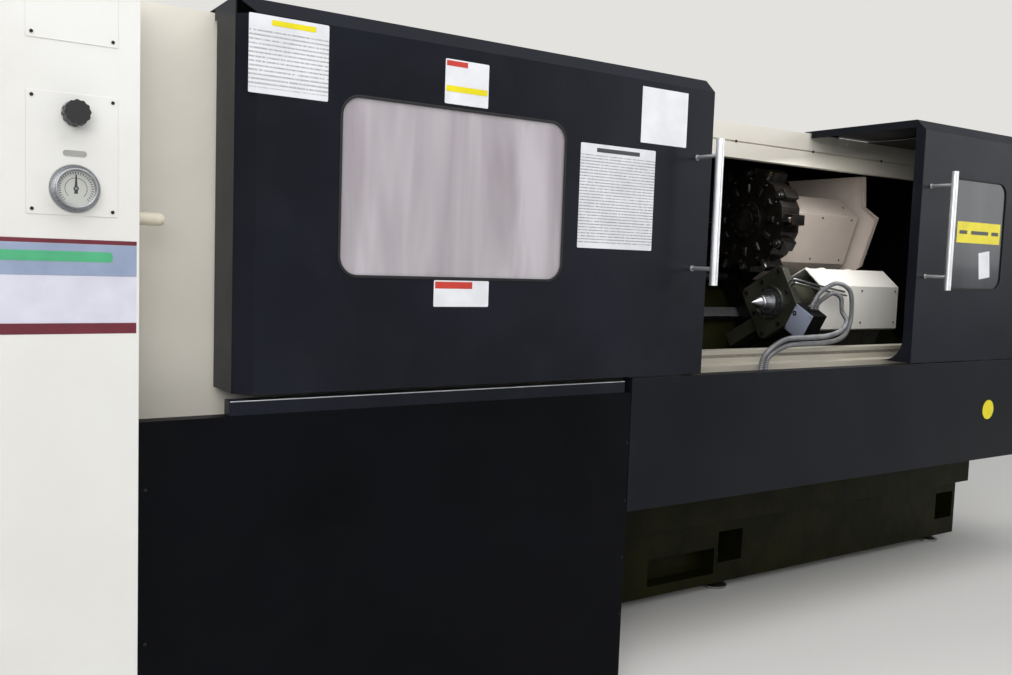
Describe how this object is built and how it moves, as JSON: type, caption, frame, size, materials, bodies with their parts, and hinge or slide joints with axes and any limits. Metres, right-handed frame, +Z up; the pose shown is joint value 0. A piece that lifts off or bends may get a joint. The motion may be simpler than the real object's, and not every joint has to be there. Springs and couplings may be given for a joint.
{
  "type": "cnc turning lathe",
  "caption": "Long slant-bed turning lathe with two sliding doors, tool turret, tailstock, hollow spindle with jaw chuck, operator console and rear switchgear cabinet",
  "frame": {"origin": "middle of the machine's box in plan, on the floor under the levelling feet", "axes": "+X along the spindle from the headstock to the tailstock end, -Y to the operator's side with the doors, +Z up"},
  "size_m": [5.2, 2.05, 2.1],
  "materials": {
    "charcoal": "textured blue-black powder coat",
    "dark_panel": "near-black powder coat",
    "cream": "cream powder coat",
    "white": "off-white powder coat",
    "cast_dark": "dark filled and painted casting",
    "bright_steel": "ground bare steel",
    "black_steel": "blackened machined steel",
    "olive": "dark olive machined casting",
    "glass": "clear safety pane with a grey cast",
    "black_plastic": "black moulded plastic",
    "grey": "light grey enamel",
    "red": "red button cap",
    "green": "green button cap",
    "rubber": "black ribbed belt"
  },
  "bodies": {
    "frame": {"bed_base": "cast_dark", "slant_bed": "cast_dark", "carriage_rail_1": "bright_steel", "carriage_rail_2": "bright_steel", "levelling_foot_1": "bright_steel", "levelling_foot_2": "bright_steel", "levelling_foot_3": "bright_steel", "levelling_foot_4": "bright_steel", "levelling_foot_5": "bright_steel", "levelling_foot_6": "bright_steel", "headstock": "cast_dark", "main_motor": "grey", "drive_belt": "rubber", "headstock_guard": "cream", "right_guard": "cream", "left_cabinet": "white", "pressure_gauge": "bright_steel", "door_buffer": "cream", "lower_left_panel": "dark_panel", "door_guide_strip": "charcoal", "apron_panel": "charcoal", "header_beam": "cream", "rear_enclosure": "cream", "chip_tray": "cream", "z_ballscrew": "bright_steel", "operator_console": "charcoal", "electrical_cabinet": "cream"},
    "spindle_unit": {"spindle": "bright_steel", "chuck_body": "bright_steel"},
    "jaw_1": {"chuck_jaw_1": "bright_steel"},
    "jaw_2": {"chuck_jaw_2": "bright_steel"},
    "jaw_3": {"chuck_jaw_3": "bright_steel"},
    "motor_drive": {"motor_pulley": "black_steel"},
    "needle": {"gauge_needle": "black_plastic"},
    "regulator": {"regulator_knob": "black_plastic"},
    "left_door_unit": {"left_door": "charcoal", "left_door_window": "glass", "left_door_handle": "bright_steel"},
    "right_door_unit": {"right_door": "charcoal", "right_door_window": "glass", "right_door_handle": "bright_steel"},
    "carriage": {"carriage_saddle": "black_steel", "carriage_end_cover": "cream"},
    "cross_slide_unit": {"cross_slide": "black_steel", "turret_housing": "black_steel", "turret_cover": "cream"},
    "turret": {"turret_disc": "black_steel"},
    "tailstock": {"tailstock_body": "olive", "tailstock_cover": "cream", "terminal_box": "grey", "tailstock_cable_chain": "black_plastic", "conduit_1": "grey", "conduit_2": "grey"},
    "quill_unit": {"quill": "bright_steel", "centre_housing": "bright_steel"},
    "centre": {"live_centre": "bright_steel"},
    "stop_button": {"emergency_stop": "red"},
    "start_button": {"cycle_start_button": "green"},
    "wheel": {"handwheel": "black_plastic"},
    "cabinet_door": {"electrical_cabinet_door": "cream"}
  },
  "joints": [
    {"name": "spindle_spin", "type": "hinge", "parent": "frame", "child": "spindle_unit", "pos_m": [-0.75, -0.334, 1.3], "axis": [1, 0, 0], "continuous": true},
    {"name": "jaw_1_slide", "type": "slide", "parent": "spindle_unit", "child": "jaw_1", "axis": [0, 0, 1], "range_m": [-0.006, 0.006]},
    {"name": "jaw_2_slide", "type": "slide", "parent": "spindle_unit", "child": "jaw_2", "axis": [0, -0.866, -0.5], "range_m": [-0.006, 0.006]},
    {"name": "jaw_3_slide", "type": "slide", "parent": "spindle_unit", "child": "jaw_3", "axis": [0, 0.866, -0.5], "range_m": [-0.006, 0.006]},
    {"name": "motor_spin", "type": "hinge", "parent": "frame", "child": "motor_drive", "pos_m": [-1.7, 0.02, 0.8], "axis": [1, 0, 0], "continuous": true},
    {"name": "needle_turn", "type": "hinge", "parent": "frame", "child": "needle", "pos_m": [-2.242, -0.921, 1.581], "axis": [0, 1, 0], "range_deg": [-135, 135]},
    {"name": "regulator_turn", "type": "hinge", "parent": "frame", "child": "regulator", "pos_m": [-2.242, -0.9043, 1.753], "axis": [0, 1, 0], "continuous": true},
    {"name": "left_door_slide", "type": "slide", "parent": "frame", "child": "left_door_unit", "axis": [1, 0, 0], "range_m": [-0.155, 0.8]},
    {"name": "right_door_slide", "type": "slide", "parent": "frame", "child": "right_door_unit", "axis": [1, 0, 0], "range_m": [-0.425, 0.06]},
    {"name": "carriage_slide", "type": "slide", "parent": "frame", "child": "carriage", "axis": [1, 0, 0], "range_m": [-1.1, 0.25]},
    {"name": "cross_slide_feed", "type": "slide", "parent": "carriage", "child": "cross_slide_unit", "axis": [0, -0.5, -0.866], "range_m": [-0.06, 0.04]},
    {"name": "turret_index", "type": "hinge", "parent": "cross_slide_unit", "child": "turret", "pos_m": [0.97, -0.114, 1.681], "axis": [1, 0, 0], "continuous": true},
    {"name": "tailstock_slide", "type": "slide", "parent": "frame", "child": "tailstock", "axis": [1, 0, 0], "range_m": [-0.9, 0.25]},
    {"name": "quill_slide", "type": "slide", "parent": "tailstock", "child": "quill_unit", "axis": [-1, 0, 0], "range_m": [0, 0.15]},
    {"name": "centre_spin", "type": "hinge", "parent": "quill_unit", "child": "centre", "pos_m": [0.775, -0.334, 1.3], "axis": [1, 0, 0], "continuous": true},
    {"name": "stop_press", "type": "slide", "parent": "frame", "child": "stop_button", "axis": [0, 1, 0], "range_m": [0, 0.006]},
    {"name": "start_press", "type": "slide", "parent": "frame", "child": "start_button", "axis": [0, 1, 0], "range_m": [0, 0.005]},
    {"name": "handwheel_turn", "type": "hinge", "parent": "frame", "child": "wheel", "pos_m": [2.5, -0.9343, 1.26], "axis": [0, 1, 0], "continuous": true},
    {"name": "cabinet_door_hinge", "type": "hinge", "parent": "frame", "child": "cabinet_door", "pos_m": [0.95, 1.022, 1.225], "axis": [0, 0, 1], "range_deg": [0, 110]}
  ],
  "couplings": [
    {"joint": "jaw_2_slide", "follows": "jaw_1_slide", "ratio": 1},
    {"joint": "jaw_3_slide", "follows": "jaw_1_slide", "ratio": 1},
    {"joint": "motor_spin", "follows": "spindle_spin", "ratio": 1.5}
  ]
}
